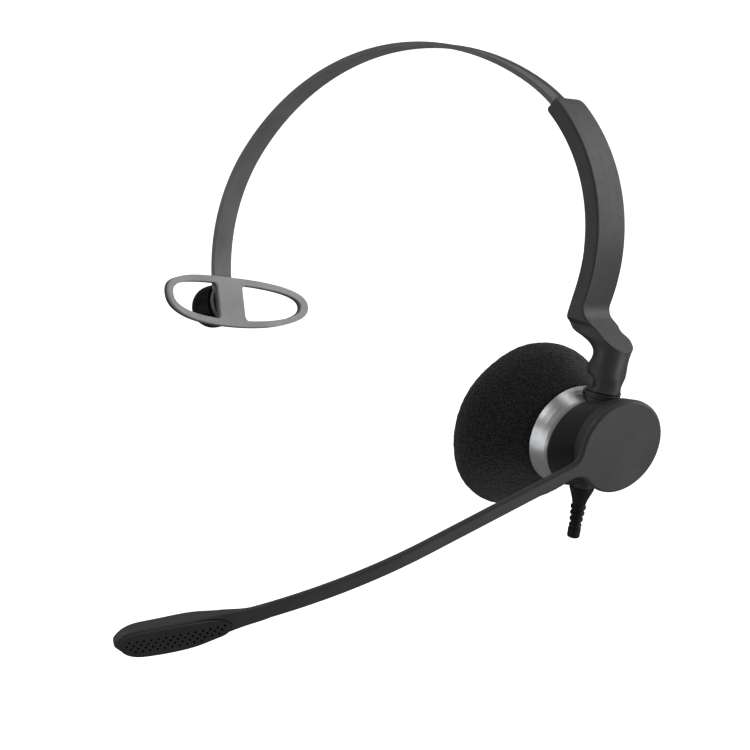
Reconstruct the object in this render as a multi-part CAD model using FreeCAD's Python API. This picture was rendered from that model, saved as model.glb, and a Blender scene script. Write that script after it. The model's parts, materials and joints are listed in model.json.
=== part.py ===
"""Single-ear office headset: sprung headband, slider arm, swivel ear cup, boom microphone and temple rest.

Frame: +X towards the ear cup, -X towards the temple rest, -Y to the wearer's front, +Z up.
The origin is the crown: the middle of the headband's inner face at its highest point.
Millimetres throughout. Every piece is one node, written as parts/NODE.step.
"""
import FreeCAD, Part
import math
import os
from FreeCAD import Placement, Rotation, Vector

# ---------------------------------------------------------------- driving dimensions
BAND_WIDTH = 8.3
BAND_THICK = 1.45
BAND_RIM = 1.3            # raised rim each side of the shallow outer channel
BAND_CHANNEL = 0.45       # depth of that channel
R_ARM_SIDE = 51.7         # centre-line radii of the three tangent arcs of the band
R_CROWN = 82.2
R_REST_SIDE = 58.7
ANGLE_ARM_SIDE = 56.5     # angles from +X where one arc hands over to the next
ANGLE_REST_SIDE = 141.0
ANGLE_BAND_START = -19.0  # end of the band inside the slider arm
ANGLE_PIVOT = 191.3       # temple-rest pivot

ARM_R_IN = 50.05
ARM_R_OUT = 54.95
ARM_WIDTH = 14.9
ARM_EDGE = 0.7                       # rounding of the arm's long edges
ARM_TOP_ANGLE = 43.8
ARM_BEND_ANGLE = -27.1
ARM_BEND_RADIUS = 4.0
DETENT_ANGLE = 31.0                  # where the arm's spring sits
SLOPE_END = Vector(77.0, 0, -92.6)   # lowest point of the sloping face, on the neck's outer side
ARM_KNEE = Vector(60.1, 0, -83.2)    # corner on the inner side where the arm turns to the neck
ARM_CROTCH = Vector(66.6, 0, -90.3)   # where that inner slant meets the neck
NECK_FOOT = Vector(68.8, 0, -104.05)
NECK_LEAN = 14.3                     # degrees, top leaning away from the head
NECK_RADIUS = 5.4

HUB_FACE = Vector(75.5, 0, -120.4)   # centre of the boom hub's outer face
CUP_TURN = 18.3                      # cup turned towards the front
CUP_DROP = 20.5                      # cup facing down
HUB_RADIUS = 14.45
HUB_R_BACK = 13.2                    # the hub tapers towards the housing
HUB_WALL = 1.45
HUB_DEPTH = 5.85
SEAM = 0.25
RING_CENTRE = (-5.04, -2.85)         # trim ring axis in the cup frame (back, up)
RING_NEAR = 10.96                    # trim ring edges behind the hub face
RING_FAR = 17.44
RING_R_NEAR = 13.6
RING_R_FAR = 15.45
PAD_CENTRE = (-7.6, -6.8)            # cushion and speaker axis (back, up)
PAD_RADIUS = 26.2
PAD_RIM = 4.6                        # edge rounding of the cushion
PAD_FACE = 39.8                      # contact face behind the hub face
DISH_RADIUS = 20.0

HOUSING_R_NEAR = 13.0
SCREW_CIRCLE = 6.6                   # housing screws about the ring's axis
SCREW_TURNS = (130, -45, 200)

RELIEF_X = -10.9                     # strain relief axis behind the hub face
RELIEF_Y = -2.08
RELIEF_TOP = -16.77
RELIEF_TILT = 4.5
RELIEF_PLUG = 2.0                    # radius inside the boss
RELIEF_CONE = 3.75                   # radius where the cone starts
RELIEF_RIB = 2.35                    # radius of the first rib
RIB_PITCH = 1.95
RIB_COUNT = 4
RIB_SHRINK = 0.14                    # each rib is this much smaller in radius than the last
RIB_DEPTH = 0.42
CABLE_RADIUS = 1.05

BOOM_ANGLE = 205.0                   # direction of the boom about the hub axis
BOOM_WIDTH = 4.6
BOOM_THICK = 1.65
BOOM_BEVEL = 0.7                     # bevel round the outer face of hub and boom
BOOM_ROOT = 5.0                      # hollow rounding where the boom leaves the hub
BOOM_STRAIGHT = 68.0
BOOM_BEND_RADIUS = 153.7
BAR_OVERLAP = 6.0                    # how far the bar runs on inside the microphone body
MIC_START = 117.0                    # distances along the boom from the hub axis
MIC_MIDDLE = 143.0
MIC_END = 161.3
GRILLE_FACE = 1.45                   # outer face of the insert beyond the boom's centre line
GRILLE_BACK = 0.45
GRILLE_GROOVE = 0.2
HOLE_PITCH = 2.06
HOLE_RADIUS = 0.38
HOLE_ROWS = 5
HOLES_IN_ROW = 14
ROW_PITCH = 1.1
FIRST_ROW = 0.05                     # across the boom, from its centre line
HOLE_MARGIN = 1.0                    # plain border left round the field of holes
CAVITY_FLOOR = -3.9

REST_MIDDLE = -1.15                  # the plate reaches further forwards than back
REST_DROP = 0.3                      # and sits a little below the pivot
REST_HALF_LENGTH = 34.75
REST_HALF_HEIGHT = 8.1
BLUNT_FRONT = 2.5                    # superellipse powers of the plate's ends
BLUNT_BACK = 2.35
REST_RAIL = 2.1                      # bars above and below the windows
WINDOW_FRONT = -7.1
WINDOW_BACK = 4.8
REST_CURVE = 164.0                   # radius of the temple rest's hollow face
REST_STANDOFF = 3.6                  # plate centre in front of the band's centre line
REST_ROLL = -3.6
PIN_X = 2.55                         # tilt pin's distance from the band's centre line
DISC_X = BAND_THICK / 2 + 0.32
DISC_TOP = 1.6
KNOB_RADIUS = 6.9
KNOB_WAIST = 4.7                     # where the knob's cylinder turns into its dome

RUN = 0.05                # radial clearance of running fits
FIT = 0.02                # clearance between pieces fixed to each other

X = Vector(1, 0, 0)
Y = Vector(0, 1, 0)
Z = Vector(0, 0, 1)
ORIGIN = Vector(0, 0, 0)


# ---------------------------------------------------------------- small helpers
def polar(centre, radius, degrees):
    """Point in the XZ plane at an angle from +X towards +Z."""
    a = math.radians(degrees)
    return centre + Vector(radius * math.cos(a), 0, radius * math.sin(a))


def box(x0, x1, y0, y1, z0, z1):
    return Part.makeBox(x1 - x0, y1 - y0, z1 - z0, Vector(x0, y0, z0))


def rod_x(radius, x0, x1, y=0.0, z=0.0):
    return Part.makeCylinder(radius, x1 - x0, Vector(x0, y, z), X)


def rod_y(radius, y0, y1, x=0.0, z=0.0):
    return Part.makeCylinder(radius, y1 - y0, Vector(x, y0, z), Y)


def rod_z(radius, z0, z1, x=0.0, y=0.0):
    return Part.makeCylinder(radius, z1 - z0, Vector(x, y, z0), Z)


def tube_x(outer, inner, x0, x1, y=0.0, z=0.0):
    return rod_x(outer, x0, x1, y, z).cut(rod_x(inner, x0 - 1, x1 + 1, y, z))


def tube_z(outer, inner, z0, z1):
    return rod_z(outer, z0, z1).cut(rod_z(inner, z0 - 1, z1 + 1))


def face_of(points):
    return Part.Face(Part.makePolygon(points + [points[0]]))


def turned(profile, base=ORIGIN, axis=X):
    """Solid of revolution: profile is (along axis, radius) pairs, closed on the axis."""
    side = Y if axis != Y else Z
    points = [base + axis * along + side * radius for along, radius in profile]
    return face_of(points).revolve(base, axis, 360)


def oblique(circle_a, circle_b):
    """Solid between two circles square to X: each circle is (x, y, z, radius)."""
    wires = []
    for x, y, z, radius in (circle_a, circle_b):
        wires.append(Part.Wire(Part.makeCircle(radius, Vector(x, y, z), X)))
    return Part.makeLoft(wires, True, True)


def eased(shape, radius, chosen):
    """Round the chosen edges; keep the shape as it was if they can't be rounded."""
    edges = [edge for edge in shape.Edges if chosen(edge)]
    try:
        rounded = shape.makeFillet(radius, edges)
    except Exception:
        return shape
    if rounded.isValid() and rounded.Solids:
        return rounded
    return shape


def placed(shape, placement):
    moved = shape.copy()
    moved.Placement = placement.multiply(moved.Placement)
    return moved


def write(node, shape):
    """One STEP file per node; every solid in it has to be sound."""
    solids = shape.Solids
    if not solids or not all(solid.isValid() for solid in solids):
        raise ValueError("bad shape: " + node)
    keep = solids[0] if len(solids) == 1 else Part.makeCompound(solids)
    keep.exportStep("parts/" + node + ".step")
    low = keep.BoundBox
    size = "%.1f %.1f %.1f" % (low.XLength, low.YLength, low.ZLength)
    print(node, len(solids), "solid(s)", size, "volume %.1f" % keep.Volume)


# ---------------------------------------------------------------- frames of the moving groups
CROWN_CENTRE = Vector(0, 0, -(R_CROWN - BAND_THICK / 2))
ARM_CENTRE = polar(CROWN_CENTRE, R_CROWN - R_ARM_SIDE, ANGLE_ARM_SIDE)
REST_CENTRE = polar(CROWN_CENTRE, R_CROWN - R_REST_SIDE, ANGLE_REST_SIDE)
PIVOT = polar(REST_CENTRE, R_REST_SIDE, ANGLE_PIVOT)

# rest frame: +X from the band towards the head, +Z up along the band
BAND_END_FRAME = Placement(PIVOT, Rotation(Y, 180 - ANGLE_PIVOT))
REST_FRAME = BAND_END_FRAME.multiply(Placement(ORIGIN, Rotation(X, REST_ROLL)))
# neck frame: origin at the neck's foot, +Z up the neck
NECK_FRAME = Placement(NECK_FOOT, Rotation(Y, NECK_LEAN))
# cup frame: origin at the hub face, +X outwards, +Y backwards, +Z up
CUP_FRAME = Placement(HUB_FACE, Rotation(Z, -CUP_TURN).multiply(Rotation(Y, CUP_DROP)))
# boom frame: as the cup frame, with +Y along the boom
BOOM_FRAME = CUP_FRAME.multiply(Placement(ORIGIN, Rotation(X, BOOM_ANGLE)))


def bend_frame(distance):
    """Boom-frame placement at a distance along the bend: +X along, +Y across, +Z outwards."""
    turn = (distance - BOOM_STRAIGHT) / BOOM_BEND_RADIUS
    along = Vector(-math.sin(turn), math.cos(turn), 0)
    out = Vector(math.cos(turn), math.sin(turn), 0)
    at = BEND_CENTRE + out * BOOM_BEND_RADIUS
    matrix = FreeCAD.Matrix(along.x, 0, out.x, at.x, along.y, 0, out.y, at.y, 0, 1, 0, 0, 0, 0, 0, 1)
    return Placement(matrix)


BEND_CENTRE = Vector(-BOOM_THICK / 2 - BOOM_BEND_RADIUS, BOOM_STRAIGHT, 0)


# ---------------------------------------------------------------- headband
def band_arc(centre, radius, start, end):
    """One stretch of the channel-section band, turned about the arc's centre."""
    inner = radius - BAND_THICK / 2
    outer = radius + BAND_THICK / 2
    floor = outer - BAND_CHANNEL
    half = BAND_WIDTH / 2
    lip = half - BAND_RIM
    outline = [(inner, -half), (inner, half), (outer, half), (outer, lip + 0.2), (floor, lip),
               (floor, -lip), (outer, -lip - 0.2), (outer, -half)]
    points = [centre + Vector(r, y, 0) for r, y in outline]
    arc = face_of(points).revolve(centre, -Y, end - start)
    return placed(arc, Placement(ORIGIN, Rotation(Y, -start), centre))


def headband_strip():
    band = band_arc(ARM_CENTRE, R_ARM_SIDE, ANGLE_BAND_START, ANGLE_ARM_SIDE)
    band = band.fuse(band_arc(CROWN_CENTRE, R_CROWN, ANGLE_ARM_SIDE, ANGLE_REST_SIDE))
    band = band.fuse(band_arc(REST_CENTRE, R_REST_SIDE, ANGLE_REST_SIDE, ANGLE_PIVOT))
    eye = rod_x(6.0, -BAND_THICK / 2, BAND_THICK / 2)
    band = band.fuse(placed(eye, BAND_END_FRAME))
    hole = rod_x(1.6, -3, 3)
    band = band.cut(placed(hole, BAND_END_FRAME))
    floor = R_ARM_SIDE + BAND_THICK / 2 - BAND_CHANNEL
    for click in range(9):
        centre = polar(ARM_CENTRE, floor + 0.2, DETENT_ANGLE - 3.25 * click)
        band = band.cut(Part.makeCylinder(0.45, 4.4, centre - Y * 2.2, Y))
    return band.removeSplitter()


def end_stop():
    """Hooked plate on the band's hidden end: it keeps the arm from pulling off."""
    outer = R_ARM_SIDE + BAND_THICK / 2
    body = arc_block(outer + FIT, outer + 0.75, -3.9, 3.9, -18.6, -15.2)
    lug = arc_block(outer - BAND_CHANNEL + FIT, outer + 0.75, -2.5, 2.5, -18.0, -15.8)
    return body.fuse(lug).removeSplitter()


def arc_block(r_in, r_out, y0, y1, start, end):
    """Curved block between two radii and two angles about the arm's centre."""
    corners = ((r_in, y0), (r_out, y0), (r_out, y1), (r_in, y1))
    solid = face_of([ARM_CENTRE + Vector(r, y, 0) for r, y in corners]).revolve(ARM_CENTRE, -Y, end - start)
    return placed(solid, Placement(ORIGIN, Rotation(Y, -start), ARM_CENTRE))


# ---------------------------------------------------------------- temple rest
def knob_shell():
    """Domed cap over the pivot on the band's outer side."""
    base = BAND_THICK / 2 + 0.08
    profile = [(-base, 0), (-base, KNOB_RADIUS)]
    for step in range(10):
        a = math.radians(10 * step)
        profile.append((-KNOB_WAIST - KNOB_RADIUS * math.sin(a), KNOB_RADIUS * math.cos(a)))
    dome = turned(profile)
    pocket = rod_x(3.3, -4.6, -base + 1)
    return dome.cut(pocket)


def pivot_stud():
    """Rivet through the band's eye; its heads hold the knuckle and the knob."""
    shank = rod_x(1.55, -3.4, 1.7)
    head = rod_x(3.0, -4.4, -1.6)
    rivet = rod_x(2.0, DISC_TOP + 0.02, 1.85)
    return shank.fuse(head).fuse(rivet).removeSplitter()


def pivot_washer():
    base = BAND_THICK / 2 + 0.1
    return tube_x(3.0, 1.6, -1.55, -base)


def pivot_knuckle():
    """Disc turning on the stud, with a barrel across it for the tilt pin."""
    disc = rod_x(3.1, DISC_X, DISC_TOP)
    barrel = rod_y(0.9, -2.9, 2.9, PIN_X, 0)
    web = box(DISC_X, PIN_X, -2.9, 2.9, -0.9, 0.9)
    knuckle = disc.fuse(web).fuse(barrel)
    knuckle = knuckle.cut(rod_x(1.6, -1, 1.7))
    knuckle = knuckle.cut(rod_x(2.1, DISC_TOP, 1.9))
    knuckle = knuckle.cut(rod_y(0.52, -5, 5, PIN_X, 0))
    return knuckle.removeSplitter()


def tilt_pin():
    return rod_y(0.5, -4.7, 4.7, PIN_X, 0)


def oval(half_length, half_height):
    """Long rounded plate in the YZ plane, blunter at the front end, as a prism along X."""
    points = []
    for step in range(48):
        a = math.tau * (step + 0.5) / 48
        power = 2 / BLUNT_FRONT if math.cos(a) < 0 else 2 / BLUNT_BACK
        y = math.copysign(abs(math.cos(a)) ** power, math.cos(a)) * half_length
        z = math.copysign(abs(math.sin(a)) ** power, math.sin(a)) * half_height
        points.append(Vector(-10, REST_MIDDLE + y, z - REST_DROP))
    curve = Part.BSplineCurve()
    curve.interpolate(Points=points, PeriodicFlag=True)
    return Part.Face(Part.Wire([curve.toShape()])).extrude(X * 30)


def rest_outline():
    """Long oval with two windows left and right of a solid middle band."""
    plate = oval(REST_HALF_LENGTH, REST_HALF_HEIGHT)
    opening = oval(REST_HALF_LENGTH - REST_RAIL - 0.8, REST_HALF_HEIGHT - REST_RAIL)
    for low, high in ((-60, WINDOW_FRONT), (WINDOW_BACK, 60)):
        window = opening.common(box(-30, 40, low, high, -20, 20))
        plate = plate.cut(eased(window, 1.7, window_corner))
    return plate


def window_corner(edge):
    """The straight edges through the plate where a window meets the middle band."""
    at = edge.BoundBox
    straight = at.YLength < 1e-4 and at.ZLength < 1e-4
    return straight and min(abs(at.Center.y - WINDOW_FRONT), abs(at.Center.y - WINDOW_BACK)) < 0.05


def rest_layer(inner_offset, outer_offset):
    """Part of the curved plate between two depths; the plate is hollow towards the head."""
    centre = Vector(REST_STANDOFF + REST_CURVE, 0, -30)
    outer = Part.makeCylinder(REST_CURVE + outer_offset, 60, centre, Z)
    inner = Part.makeCylinder(REST_CURVE + inner_offset, 60, centre, Z)
    return rest_outline().common(outer.cut(inner))


def temple_rest_frame():
    """Curved plate with two lugs that turn on the tilt pin."""
    plate = rest_layer(-0.1, 0.95)
    plate = plate.cut(rod_y(1.2, -3.15, 3.15, PIN_X, 0))
    for y0 in (3.25, -4.9):
        lug = rod_y(1.25, y0, y0 + 1.65, PIN_X, 0)
        lug = lug.fuse(box(PIN_X, 3.3, y0, y0 + 1.65, -1.25, 1.25))
        lug = lug.common(box(0, 3.4, -6, 6, -3, 3))
        plate = plate.fuse(lug)
    plate = plate.cut(rod_y(0.52, -8, 8, PIN_X, 0))
    return plate.removeSplitter()


def temple_rest_pad():
    return rest_layer(-0.8, -0.1 - FIT)


# ---------------------------------------------------------------- slider arm
def unit(vector):
    return vector * (1 / vector.Length)


SLOPE_START = polar(ARM_CENTRE, ARM_R_OUT, ARM_BEND_ANGLE)
SLOPE_RUN = unit(SLOPE_END - SLOPE_START)
SLOPE_OUT = Vector(-SLOPE_RUN.z, 0, SLOPE_RUN.x)
NECK_UP = Vector(math.sin(math.radians(NECK_LEAN)), 0, math.cos(math.radians(NECK_LEAN)))
NECK_IN = Vector(-NECK_UP.z, 0, NECK_UP.x)


def slope_fillet():
    """Centre and ends of the rounding between the arm's outer arc and the sloping face."""
    reach = ARM_R_OUT + ARM_BEND_RADIUS
    base = SLOPE_START + SLOPE_OUT * ARM_BEND_RADIUS - ARM_CENTRE
    along = base.dot(SLOPE_RUN)
    centre = ARM_CENTRE + base + SLOPE_RUN * (-along + math.sqrt(along ** 2 - base.dot(base) + reach ** 2))
    on_arc = ARM_CENTRE + unit(centre - ARM_CENTRE) * ARM_R_OUT
    on_slope = centre - SLOPE_OUT * ARM_BEND_RADIUS
    middle = centre + unit((on_arc + on_slope) * 0.5 - centre) * ARM_BEND_RADIUS
    return on_arc, middle, on_slope


def arm_side_profile():
    """Closed outline of the arm seen from the front, left wide round the neck."""
    on_arc, middle, on_slope = slope_fillet()
    top_out = polar(ARM_CENTRE, ARM_R_OUT, ARM_TOP_ANGLE)
    top_in = polar(ARM_CENTRE, ARM_R_IN, ARM_TOP_ANGLE)
    half_angle = (ARM_TOP_ANGLE + ARM_BEND_ANGLE) / 2
    inner_end = polar(ARM_CENTRE, ARM_R_IN, -20.0)
    low = NECK_FOOT
    past_slope = SLOPE_END + SLOPE_RUN * 6
    edges = [
        Part.Arc(top_out, polar(ARM_CENTRE, ARM_R_OUT, half_angle + 3), on_arc).toShape(),
        Part.Arc(on_arc, middle, on_slope).toShape(),
        Part.makeLine(on_slope, past_slope),
        Part.makeLine(past_slope, low - NECK_IN * 9),
        Part.makeLine(low - NECK_IN * 9, low + NECK_IN * 9),
        Part.makeLine(low + NECK_IN * 9, ARM_CROTCH + NECK_IN * 5 - NECK_UP),
        Part.makeLine(ARM_CROTCH + NECK_IN * 5 - NECK_UP, ARM_CROTCH),
        Part.makeLine(ARM_CROTCH, ARM_KNEE),
        Part.makeLine(ARM_KNEE, inner_end),
        Part.Arc(inner_end, polar(ARM_CENTRE, ARM_R_IN, half_angle), top_in).toShape(),
        Part.makeLine(top_in, top_out),
    ]
    return Part.Face(Part.Wire(edges))


def rounded_ring(height, middle, half_x, half_y, power):
    """Superellipse at a height on the neck axis, as a closed wire."""
    points = []
    for step in range(32):
        a = math.tau * (step + 0.5) / 32
        x = math.copysign(abs(math.cos(a)) ** (2 / power), math.cos(a)) * half_x
        y = math.copysign(abs(math.sin(a)) ** (2 / power), math.sin(a)) * half_y
        points.append(Vector(middle + x, y, height))
    curve = Part.BSplineCurve()
    curve.interpolate(Points=points, PeriodicFlag=True)
    return Part.Wire([curve.toShape()])


NECK_RINGS = (
    # height on the neck axis, middle, half depth, half width, squareness
    (0.0, 0.0, NECK_RADIUS, NECK_RADIUS, 2.0),
    (4.5, 0.0, NECK_RADIUS, NECK_RADIUS, 2.0),
    (9.0, 0.0, NECK_RADIUS, NECK_RADIUS, 2.0),
    (11.3, 0.0, NECK_RADIUS, NECK_RADIUS + 0.2, 2.05),
    (13.5, -0.9, NECK_RADIUS + 0.9, NECK_RADIUS + 0.8, 2.5),
    (16.0, -4.2, NECK_RADIUS + 4.2, NECK_RADIUS + 1.6, 3.6),
    (19.0, -9.0, NECK_RADIUS + 9.0, ARM_WIDTH / 2 - 0.1, 6.0),
    (23.0, -11.0, NECK_RADIUS + 11.4, ARM_WIDTH / 2 + 0.1, 9.0),
)


def arm_shell():
    """Curved shoe that narrows smoothly into the round neck."""
    half = ARM_WIDTH / 2
    blank = arm_side_profile().extrude(Y * ARM_WIDTH)
    blank.translate(Y * -half)
    blank = eased(blank, 2.4, arm_top_corner)
    blank = eased(blank, 4.0, knee_edge)
    blank = eased(blank, ARM_EDGE, arm_long_edge)
    waist = Part.makeLoft([rounded_ring(*ring) for ring in NECK_RINGS], True, False)
    waist = placed(waist, NECK_FRAME)
    above = placed(box(-60, 40, -20, 20, 22.9, 120), NECK_FRAME)
    return blank.common(waist.fuse(above))


def knee_edge(edge):
    middle = edge.BoundBox.Center
    return abs(middle.x - ARM_KNEE.x) < 0.05 and abs(middle.z - ARM_KNEE.z) < 0.05


def arm_top_corner(edge):
    """The two short edges across the thickness at the arm's open end."""
    middle = edge.BoundBox.Center
    short = 4.0 < edge.Length < 6.0
    return short and middle.z > -30 and abs(abs(middle.y) - ARM_WIDTH / 2) < 0.01


def arm_long_edge(edge):
    """Long edges of the arm's outer face and of its inner face, down to the neck."""
    at = edge.BoundBox
    side = abs(abs(at.Center.y) - ARM_WIDTH / 2) < 0.01 and at.YLength < 0.01
    return side and edge.Length > 3.0 and at.ZMin > SLOPE_END.z - 6 and at.Center.x > 56


def neck_bore():
    """Blind hole from the neck's foot that takes the bush and the swivel post."""
    return placed(rod_z(3.6, -1, 11.2), NECK_FRAME)


def arm_outer_shell():
    shell = arm_shell()
    outer = R_ARM_SIDE + BAND_THICK / 2
    shell = shell.cut(arc_block(ARM_R_IN - 1, outer + 0.13, -4.25, 4.25, -20.5, 60))
    shell = shell.cut(arc_block(ARM_R_IN - 1, outer + 1.0, -4.25, 4.25, -20.5, 12.0))
    shell = shell.cut(arc_block(ARM_R_IN - 1, ARM_R_IN + 0.82, -5.6, 5.6, -24.0, 42.2))
    shell = shell.cut(arc_block(outer - 0.1, outer + 1.1, -2.2, 2.2, 24.0, 38.0))
    shell = shell.cut(neck_bore())
    for y in (-3.0, 3.0):
        shell = shell.cut(screw_at(0.8, ARM_R_IN - 1, ARM_R_IN + 3.6, y, -22.3))
    return shell.removeSplitter()


def screw_at(radius, r_in, r_out, y, angle):
    """Cylinder along a radius of the arm."""
    start = polar(ARM_CENTRE, r_in, angle) + Y * y
    end = polar(ARM_CENTRE, r_out, angle) + Y * y
    return Part.makeCylinder(radius, (end - start).Length, start, end - start)


def arm_inner_cover():
    cover = arc_block(ARM_R_IN, ARM_R_IN + 0.8, -5.55, 5.55, -23.9, 42.1)
    for y in (-3.0, 3.0):
        cover = cover.cut(screw_at(0.85, ARM_R_IN - 1, ARM_R_IN + 2, y, -22.3))
        cover = cover.cut(screw_at(1.35, ARM_R_IN - 1, ARM_R_IN + 0.45, y, -22.3))
    return cover.removeSplitter()


def arm_cover_screws():
    screws = []
    for y in (-3.0, 3.0):
        head = screw_at(1.3, ARM_R_IN + 0.08, ARM_R_IN + 0.43, y, -22.3)
        shank = screw_at(0.78, ARM_R_IN + 0.2, ARM_R_IN + 3.5, y, -22.3)
        slot = screw_at(0.35, ARM_R_IN - 0.2, ARM_R_IN + 0.28, y, -22.3)
        screws.append(head.fuse(shank).cut(slot).removeSplitter())
    return Part.makeCompound(screws)


def detent_spring():
    """Leaf in the arm's roof pocket with a nose that clicks into the band's notches."""
    outer = R_ARM_SIDE + BAND_THICK / 2
    leaf = arc_block(outer + 0.55, outer + 0.8, -2.1, 2.1, 24.3, 37.7)
    feet = arc_block(outer + 0.55, outer + 1.08, -2.1, 2.1, 24.3, 26.0)
    feet = feet.fuse(arc_block(outer + 0.55, outer + 1.08, -2.1, 2.1, 36.0, 37.7))
    nose_centre = polar(ARM_CENTRE, outer + 0.38, DETENT_ANGLE)
    nose = Part.makeCylinder(0.6, 3.6, nose_centre - Y * 1.8, Y)
    return leaf.fuse(feet).fuse(nose).removeSplitter()


def neck_bush():
    return placed(tube_z(3.58, 2.05, 0.35, 7.0), NECK_FRAME)


# ---------------------------------------------------------------- ear cup
def swivel_post():
    """Hollow metal post standing in the housing; the neck turns on it."""
    post = tube_z(2.0, 1.1, -7.0, 8.9)
    groove = tube_z(3.0, 1.55, 7.25, 7.95)
    flange = tube_z(2.4, 1.1, -7.0, -6.2)
    return placed(post.cut(groove).fuse(flange).removeSplitter(), NECK_FRAME)


def retaining_clip():
    clip = tube_z(3.2, 1.57, 7.3, 7.9)
    clip = clip.cut(box(0, 5, -1.0, 1.0, 6, 9))
    return placed(clip, NECK_FRAME)


def neck_collar():
    profile_ring = tube_z(5.25, 2.05, -1.95, -SEAM)
    ring = eased(profile_ring, 0.35, lambda edge: abs(edge.BoundBox.Center.z + SEAM) < 0.01
                 and edge.BoundBox.XLength > 9)
    return placed(ring, NECK_FRAME)


def drum_outline():
    """Outer form of the housing: hub side, slanting over to the trim ring side."""
    y, z = RING_CENTRE
    near = -(HUB_DEPTH + SEAM)
    far = -(RING_NEAR - 0.02)
    return oblique((near, 0, 0, HOUSING_R_NEAR), (far, y, z, RING_R_NEAR - 0.1))


def cup_housing():
    """Drum between boom hub and trim ring, with a pedestal for the neck and a barrel inside the ring."""
    y, z = RING_CENTRE
    near = -(HUB_DEPTH + SEAM)
    body = drum_outline()
    barrel = rod_x(RING_R_NEAR - 1.35, -RING_FAR, -RING_NEAR + 0.5, y, z)
    pedestal = placed(rod_z(5.55, -7.5, -1.97), NECK_FRAME)
    pedestal = pedestal.common(box(-18.5, near, -30, 30, -30, 30).transformed(CUP_FRAME.toMatrix()))
    pedestal = placed(pedestal, CUP_FRAME.inverse())
    body = body.fuse(pedestal).fuse(relief_boss()).fuse(barrel)
    hollow = oblique((near - 1.4, 0, 0, HOUSING_R_NEAR - 1.55), (-RING_NEAR, y, z, RING_R_NEAR - 1.7))
    hollow = hollow.fuse(rod_x(RING_R_NEAR - 2.85, -RING_FAR - 1, -RING_NEAR + 0.2, y, z))
    keep = placed(placed(rod_z(4.2, -6.1, 0), NECK_FRAME), CUP_FRAME.inverse())
    body = body.cut(hollow.cut(keep))
    body = body.cut(placed(placed(rod_z(2.02, -20, 5), NECK_FRAME), CUP_FRAME.inverse()))
    body = body.cut(rod_x(3.52, near - 3, near + 1))
    body = body.cut(relief_bore())
    for py, pz in screw_spots():
        body = body.fuse(rod_x(1.7, -15.0, near - 1.0, py, pz))
        body = body.cut(rod_x(0.8, -16.0, near - 2.2, py, pz))
    for radius, low in ((5.3, -1.97), (5.8, -0.3)):
        body = body.cut(placed(placed(rod_z(radius, low, 6), NECK_FRAME), CUP_FRAME.inverse()))
    return placed(body, CUP_FRAME)


def screw_spots():
    """Centres of the housing screws in the cup frame (back, up)."""
    y, z = RING_CENTRE
    turns = [math.radians(turn) for turn in SCREW_TURNS]
    return [(y + SCREW_CIRCLE * math.cos(a), z + SCREW_CIRCLE * math.sin(a)) for a in turns]


def relief_frame():
    """Origin where the cone starts, +Z down the strain relief."""
    turn = Rotation(X, 180 + RELIEF_TILT)
    return Placement(Vector(RELIEF_X, RELIEF_Y, RELIEF_TOP), turn)


def relief_boss():
    """Small neck under the housing that grips the strain relief."""
    return placed(rod_z(RELIEF_CONE - 0.2, -7.0, -0.3), relief_frame())


def relief_bore():
    return placed(rod_z(2.02, -12.0, 1.0), relief_frame())


def strain_relief():
    """Moulded sleeve: plug inside the boss, cone, four round ribs and a plain end, bored for the cable."""
    along = 5.4
    profile = [(-5.9, 0), (-5.9, 2.35), (-5.2, 2.35), (-5.2, RELIEF_PLUG), (-0.25, RELIEF_PLUG),
               (-0.25, RELIEF_CONE), (0.6, RELIEF_CONE - 0.05), (2.2, 3.1), (4.2, RELIEF_RIB), (along, 2.1)]
    for rib in range(RIB_COUNT):
        top = RELIEF_RIB - RIB_SHRINK * rib
        core = top - RIB_DEPTH
        steps = ((0.12, core), (0.3, core), (0.42, top - 0.12), (0.62, top), (0.85, top - 0.1), (1.0, core))
        profile += [(along + RIB_PITCH * share, level) for share, level in steps]
        along += RIB_PITCH
    profile += [(along + 0.15, 1.62), (along + 0.35, 1.95), (along + 2.9, 1.9), (along + 3.1, 1.75),
                (along + 3.1, 0)]
    solid = turned(profile, ORIGIN, Z)
    solid = solid.cut(rod_z(CABLE_RADIUS, -10, 20))
    return placed(placed(solid, relief_frame()), CUP_FRAME)


def cable_clamp():
    """Ring clip inside the housing that locks the sleeve's flange."""
    clip = tube_z(2.4, 1.3, -7.3, -5.95)
    return placed(placed(clip, relief_frame()), CUP_FRAME)


def trim_ring():
    """Satin ring round the housing barrel, slightly crowned."""
    y, z = RING_CENTRE
    length = RING_FAR - RING_NEAR
    profile = [(-RING_FAR, RING_R_NEAR - 1.3), (-RING_FAR, RING_R_FAR - 0.3), (-RING_FAR + 0.3, RING_R_FAR)]
    for step in (0.3, 0.6, 0.85):
        bulge = 0.22 * math.sin(math.pi * step)
        radius = RING_R_FAR + (RING_R_NEAR - RING_R_FAR) * step + bulge
        profile.append((-RING_FAR + length * step, radius))
    profile += [(-RING_NEAR - 0.25, RING_R_NEAR), (-RING_NEAR, RING_R_NEAR - 0.3),
                (-RING_NEAR, RING_R_NEAR - 1.3)]
    ring = turned(profile, Vector(0, y, z))
    ring = ring.cut(placed(placed(rod_z(5.8, -8, 6), NECK_FRAME), CUP_FRAME.inverse()))
    ring = ring.cut(placed(rod_z(RELIEF_CONE + 0.3, -8, 4), relief_frame()))
    return placed(ring, CUP_FRAME)


def dish_outline(grow=0.0):
    """Outer form of the speaker dish: a slanting funnel and a flat drum."""
    y, z = RING_CENTRE
    py, pz = PAD_CENTRE
    base = -(RING_FAR + 0.05)
    funnel = oblique((base, y, z, 13.0 + grow), (-27.0, py, pz, DISH_RADIUS + grow))
    drum = rod_x(DISH_RADIUS + grow, -30.0 - grow, -27.0, py, pz)
    return funnel.fuse(drum).removeSplitter()


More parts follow.
